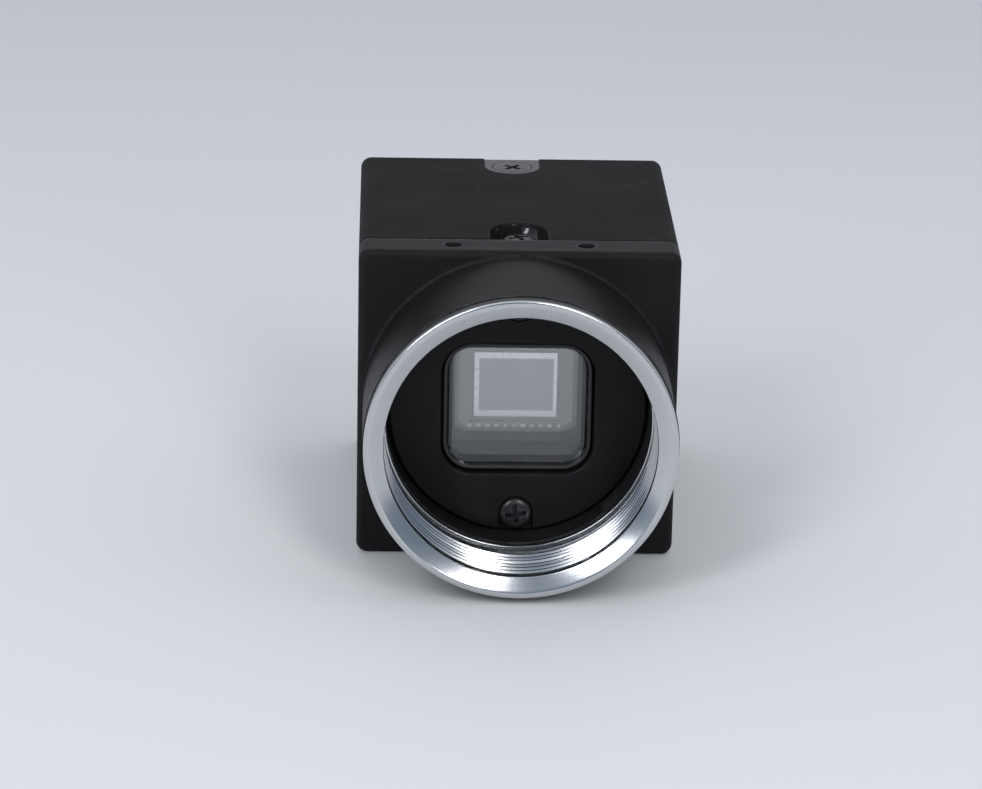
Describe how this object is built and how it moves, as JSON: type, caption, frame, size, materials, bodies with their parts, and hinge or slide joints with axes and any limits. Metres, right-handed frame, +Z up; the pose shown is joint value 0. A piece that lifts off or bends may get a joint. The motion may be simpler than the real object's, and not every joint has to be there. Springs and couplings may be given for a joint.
{
  "type": "machine vision camera",
  "caption": "Small square industrial camera with a bare metal C-mount ring around its sensor window, a screwed black cover, and a round connector and setting switches behind.",
  "frame": {"origin": "on the base plane, at the middle of the whole camera's length and width", "axes": "-Y out of the lens mount along the optical axis, +Y out of the rear connector, +X to the right seen from the front, +Z up"},
  "size_m": [0.029, 0.05, 0.029],
  "materials": {
    "black_casting": "fine black powder coat on cast metal",
    "black_cover": "fine textured black powder coat",
    "bare_aluminium": "bare turned aluminium, bright",
    "black_anodised": "satin black anodised",
    "black_screw": "black zinc-plated steel, glossy",
    "seal_rubber": "black soft rubber",
    "filter_glass": "polished and coated filter glass",
    "lid_glass": "polished lid glass",
    "grey_ceramic": "matt grey ceramic",
    "silicon": "polished silicon with a bright metal border",
    "gold_plate": "gold plated",
    "steel": "zinc-plated steel",
    "spacer_brass": "turned brass",
    "board_green": "green solder mask",
    "chip_black": "moulded epoxy",
    "nickel": "satin nickel plate",
    "insert_black": "moulded black insulator",
    "switch_black": "moulded black plastic",
    "switch_white": "moulded white plastic",
    "trimmer_blue": "moulded blue plastic",
    "trimmer_white": "moulded white plastic"
  },
  "bodies": {
    "housing": {"front_frame": "black_casting", "lens_mount_ring": "bare_aluminium", "sensor_holder": "black_anodised", "holder_screws": "black_screw", "window_seal": "seal_rubber", "filter_glass": "filter_glass", "sensor_package": "grey_ceramic", "sensor_die": "silicon", "package_glass": "lid_glass", "package_pins": "gold_plate", "sensor_board": "board_green", "process_board": "board_green", "io_board": "board_green", "board_spacers": "spacer_brass", "stack_screws": "steel", "board_headers": "chip_black", "processor_chip": "chip_black", "driver_chips": "chip_black", "cover": "black_cover", "cover_screws": "black_screw", "rear_panel": "black_casting", "connector_shell": "nickel", "connector_insert": "insert_black", "connector_contacts": "gold_plate", "connector_nut": "nickel", "setting_switch_body": "switch_black", "termination_switch_body": "switch_black", "sync_switch_body": "switch_black", "gain_trimmer_body": "trimmer_blue", "switch_board": "board_green", "switch_board_screws": "steel", "link_header": "chip_black"},
    "gain_rotor": {"gain_trimmer_rotor": "trimmer_white"},
    "termination_slider": {"termination_switch_slider": "switch_white"},
    "sync_slider": {"sync_switch_slider": "switch_white"},
    "setting_slider_1": {"setting_switch_slider_1": "switch_white"},
    "setting_slider_2": {"setting_switch_slider_2": "switch_white"},
    "setting_slider_3": {"setting_switch_slider_3": "switch_white"},
    "setting_slider_4": {"setting_switch_slider_4": "switch_white"},
    "setting_slider_5": {"setting_switch_slider_5": "switch_white"},
    "setting_slider_6": {"setting_switch_slider_6": "switch_white"},
    "setting_slider_7": {"setting_switch_slider_7": "switch_white"},
    "setting_slider_8": {"setting_switch_slider_8": "switch_white"},
    "setting_slider_9": {"setting_switch_slider_9": "switch_white"},
    "setting_slider_10": {"setting_switch_slider_10": "switch_white"}
  },
  "joints": [
    {"name": "gain_turn", "type": "hinge", "parent": "housing", "child": "gain_rotor", "pos_m": [-0.0106, 0.0174, 0.0075], "axis": [0, 1, 0], "range_deg": [-135, 135]},
    {"name": "termination_slide", "type": "slide", "parent": "housing", "child": "termination_slider", "axis": [0, 0, 1], "range_m": [0, 0.0016]},
    {"name": "sync_slide", "type": "slide", "parent": "housing", "child": "sync_slider", "axis": [0, 0, 1], "range_m": [0, 0.0016]},
    {"name": "setting_slide_1", "type": "slide", "parent": "housing", "child": "setting_slider_1", "axis": [0, 0, 1], "range_m": [0, 0.001]},
    {"name": "setting_slide_2", "type": "slide", "parent": "housing", "child": "setting_slider_2", "axis": [0, 0, 1], "range_m": [0, 0.001]},
    {"name": "setting_slide_3", "type": "slide", "parent": "housing", "child": "setting_slider_3", "axis": [0, 0, 1], "range_m": [0, 0.001]},
    {"name": "setting_slide_4", "type": "slide", "parent": "housing", "child": "setting_slider_4", "axis": [0, 0, 1], "range_m": [0, 0.001]},
    {"name": "setting_slide_5", "type": "slide", "parent": "housing", "child": "setting_slider_5", "axis": [0, 0, 1], "range_m": [0, 0.001]},
    {"name": "setting_slide_6", "type": "slide", "parent": "housing", "child": "setting_slider_6", "axis": [0, 0, 1], "range_m": [0, 0.001]},
    {"name": "setting_slide_7", "type": "slide", "parent": "housing", "child": "setting_slider_7", "axis": [0, 0, 1], "range_m": [0, 0.001]},
    {"name": "setting_slide_8", "type": "slide", "parent": "housing", "child": "setting_slider_8", "axis": [0, 0, 1], "range_m": [0, 0.001]},
    {"name": "setting_slide_9", "type": "slide", "parent": "housing", "child": "setting_slider_9", "axis": [0, 0, 1], "range_m": [0, 0.001]},
    {"name": "setting_slide_10", "type": "slide", "parent": "housing", "child": "setting_slider_10", "axis": [0, 0, 1], "range_m": [0, 0.001]}
  ]
}
